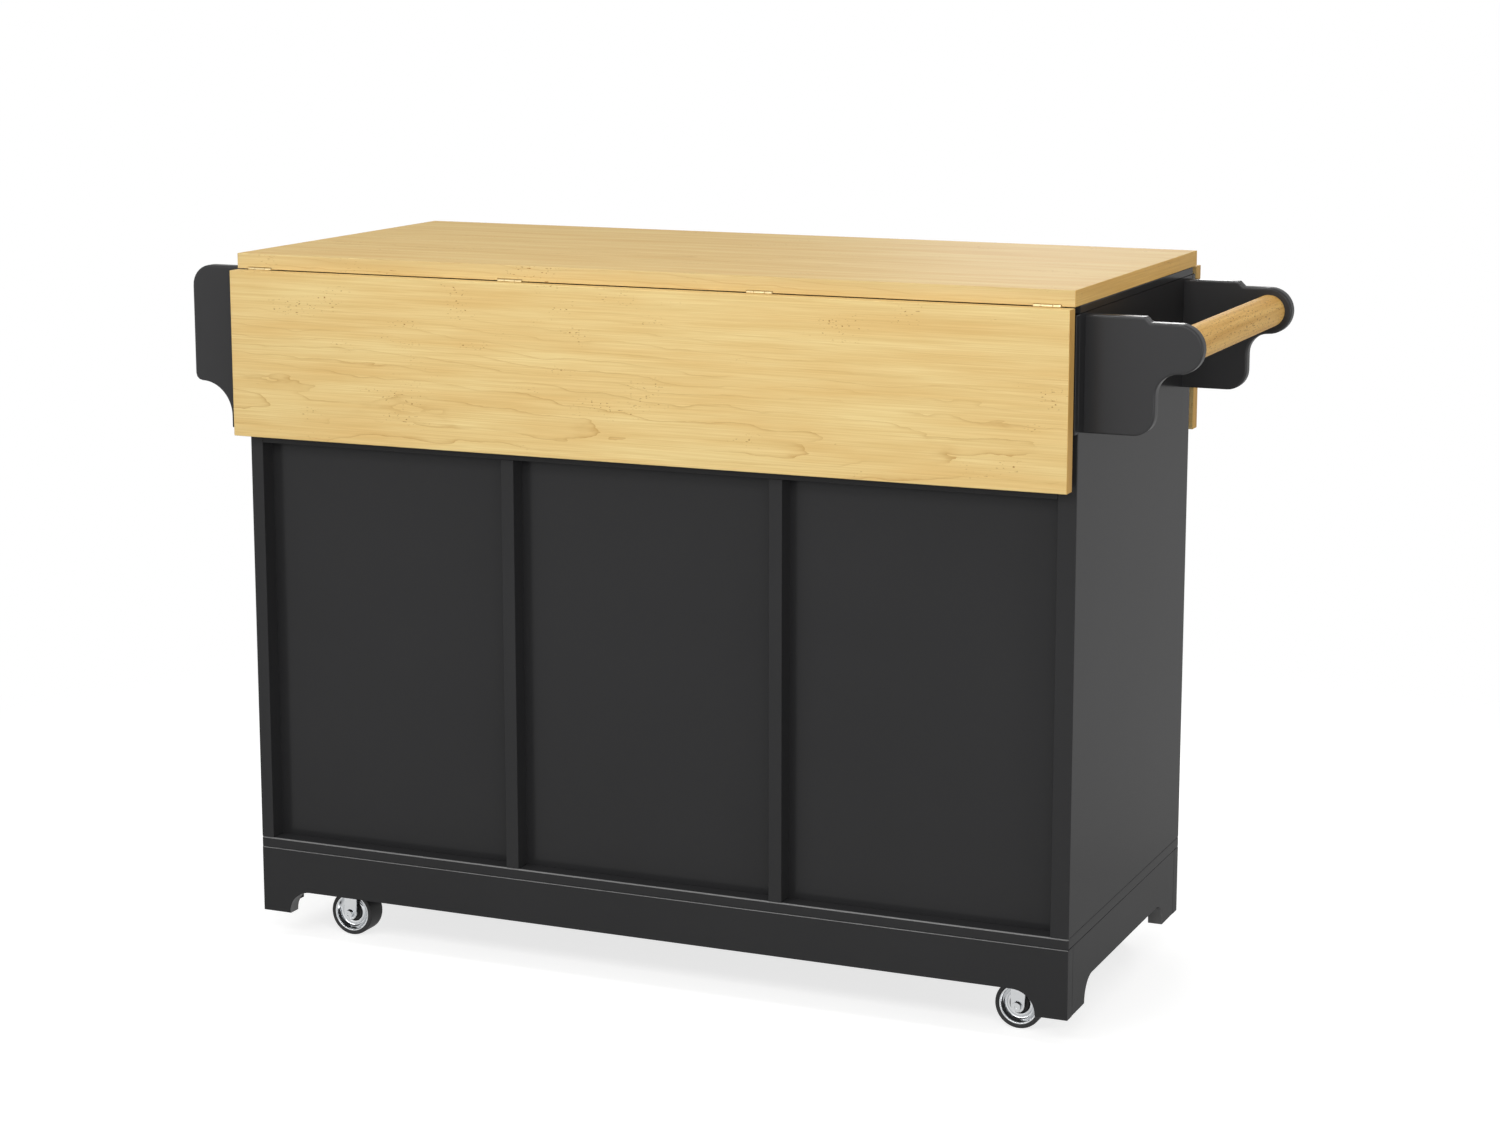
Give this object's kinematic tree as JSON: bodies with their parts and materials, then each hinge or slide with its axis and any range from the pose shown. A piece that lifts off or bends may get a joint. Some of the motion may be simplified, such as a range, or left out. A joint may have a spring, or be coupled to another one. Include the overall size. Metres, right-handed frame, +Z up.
{
  "type": "drop leaf kitchen island",
  "caption": "Kitchen island on casters with hinged drop leaves along its long sides, cupboards and drawers, a towel rail at one end and a spice rack at the other.",
  "frame": {"origin": "on the floor, under the centre of the outer box", "axes": "+Z up, +X along the island towards the towel rail, +Y towards the doors and drawers, so the plain back faces -Y"},
  "size_m": [1.386, 0.571, 0.935],
  "materials": {
    "black_lacquer": "satin black lacquer on wood panel",
    "maple": "clear satin lacquer on maple veneer",
    "beech": "clear satin lacquer on a turned dowel",
    "inner_board": "matt black board",
    "chrome": "polished plate",
    "nickel": "brushed nickel",
    "zinc_steel": "zinc plated sheet steel",
    "rubber": "black moulded rubber"
  },
  "bodies": {
    "root": {"worktop": "maple", "sub_top": "black_lacquer", "side_panel_left": "black_lacquer", "side_panel_right": "black_lacquer", "divider_left": "black_lacquer", "divider_right": "black_lacquer", "bottom_board": "black_lacquer", "back_panel_left": "black_lacquer", "back_panel_middle": "black_lacquer", "back_panel_right": "black_lacquer", "apron_back": "black_lacquer", "apron_front": "black_lacquer", "plinth_back": "black_lacquer", "plinth_front": "black_lacquer", "plinth_left": "black_lacquer", "plinth_right": "black_lacquer", "caster_rail_left": "inner_board", "caster_rail_right": "inner_board", "shelf_left": "inner_board", "shelf_right": "inner_board", "towel_bracket_back": "black_lacquer", "towel_bracket_front": "black_lacquer", "towel_rail": "beech", "spice_rack_end_back": "black_lacquer", "spice_rack_end_front": "black_lacquer", "spice_rack_shelf": "black_lacquer", "spice_rack_guard_rail": "black_lacquer", "leaf_back_hinge_1": "zinc_steel", "leaf_back_hinge_2": "zinc_steel", "leaf_back_hinge_3": "zinc_steel", "leaf_back_hinge_4": "zinc_steel", "leaf_front_hinge_1": "zinc_steel", "leaf_front_hinge_2": "zinc_steel", "leaf_front_hinge_3": "zinc_steel", "leaf_front_hinge_4": "zinc_steel"},
    "leaf_back": {"leaf_back": "maple"},
    "leaf_front": {"leaf_front": "maple"},
    "door_left": {"door_left": "black_lacquer", "door_left_knob": "nickel"},
    "door_right": {"door_right": "black_lacquer", "door_right_knob": "nickel"},
    "drawer_lower": {"drawer_lower_front": "black_lacquer", "drawer_lower_knob": "nickel", "drawer_lower_box": "inner_board"},
    "drawer_upper": {"drawer_upper_front": "black_lacquer", "drawer_upper_knob": "nickel", "drawer_upper_box": "inner_board"},
    "caster_back_left": {"caster_back_left_fork": "chrome"},
    "caster_back_right": {"caster_back_right_fork": "chrome"},
    "caster_front_left": {"caster_front_left_fork": "chrome"},
    "caster_front_right": {"caster_front_right_fork": "chrome"},
    "wheel_back_left": {"caster_back_left_hub": "chrome", "caster_back_left_tyre": "rubber"},
    "wheel_back_right": {"caster_back_right_hub": "chrome", "caster_back_right_tyre": "rubber"},
    "wheel_front_left": {"caster_front_left_hub": "chrome", "caster_front_left_tyre": "rubber"},
    "wheel_front_right": {"caster_front_right_hub": "chrome", "caster_front_right_tyre": "rubber"}
  },
  "joints": [
    {"name": "leaf_back_fold", "type": "hinge", "parent": "root", "child": "leaf_back", "pos_m": [-0.0225, -0.2655, 0.915], "axis": [-1, 0, 0], "range_deg": [0, 90]},
    {"name": "leaf_front_fold", "type": "hinge", "parent": "root", "child": "leaf_front", "pos_m": [-0.0225, 0.2655, 0.915], "axis": [1, 0, 0], "range_deg": [0, 90]},
    {"name": "door_left_swing", "type": "hinge", "parent": "root", "child": "door_left", "pos_m": [-0.576, 0.2488, 0.4105], "axis": [0, 0, 1], "range_deg": [0, 170]},
    {"name": "door_right_swing", "type": "hinge", "parent": "root", "child": "door_right", "pos_m": [0.525, 0.2488, 0.4105], "axis": [0, 0, -1], "range_deg": [0, 170]},
    {"name": "drawer_lower_slide", "type": "slide", "parent": "root", "child": "drawer_lower", "axis": [0, 1, 0], "range_m": [0, 0.3]},
    {"name": "drawer_upper_slide", "type": "slide", "parent": "root", "child": "drawer_upper", "axis": [0, 1, 0], "range_m": [0, 0.3]},
    {"name": "caster_back_left_swivel", "type": "hinge", "parent": "root", "child": "caster_back_left", "pos_m": [-0.501, -0.1835, 0.078], "axis": [0, 0, 1], "continuous": true},
    {"name": "caster_back_right_swivel", "type": "hinge", "parent": "root", "child": "caster_back_right", "pos_m": [0.456, -0.1835, 0.078], "axis": [0, 0, 1], "continuous": true},
    {"name": "caster_front_left_swivel", "type": "hinge", "parent": "root", "child": "caster_front_left", "pos_m": [-0.501, 0.1835, 0.078], "axis": [0, 0, 1], "continuous": true},
    {"name": "caster_front_right_swivel", "type": "hinge", "parent": "root", "child": "caster_front_right", "pos_m": [0.456, 0.1835, 0.078], "axis": [0, 0, 1], "continuous": true},
    {"name": "wheel_back_left_roll", "type": "hinge", "parent": "caster_back_left", "child": "wheel_back_left", "pos_m": [-0.485, -0.1835, 0.031], "axis": [0, 1, 0], "continuous": true},
    {"name": "wheel_back_right_roll", "type": "hinge", "parent": "caster_back_right", "child": "wheel_back_right", "pos_m": [0.472, -0.1835, 0.031], "axis": [0, 1, 0], "continuous": true},
    {"name": "wheel_front_left_roll", "type": "hinge", "parent": "caster_front_left", "child": "wheel_front_left", "pos_m": [-0.485, 0.1835, 0.031], "axis": [0, 1, 0], "continuous": true},
    {"name": "wheel_front_right_roll", "type": "hinge", "parent": "caster_front_right", "child": "wheel_front_right", "pos_m": [0.472, 0.1835, 0.031], "axis": [0, 1, 0], "continuous": true}
  ]
}
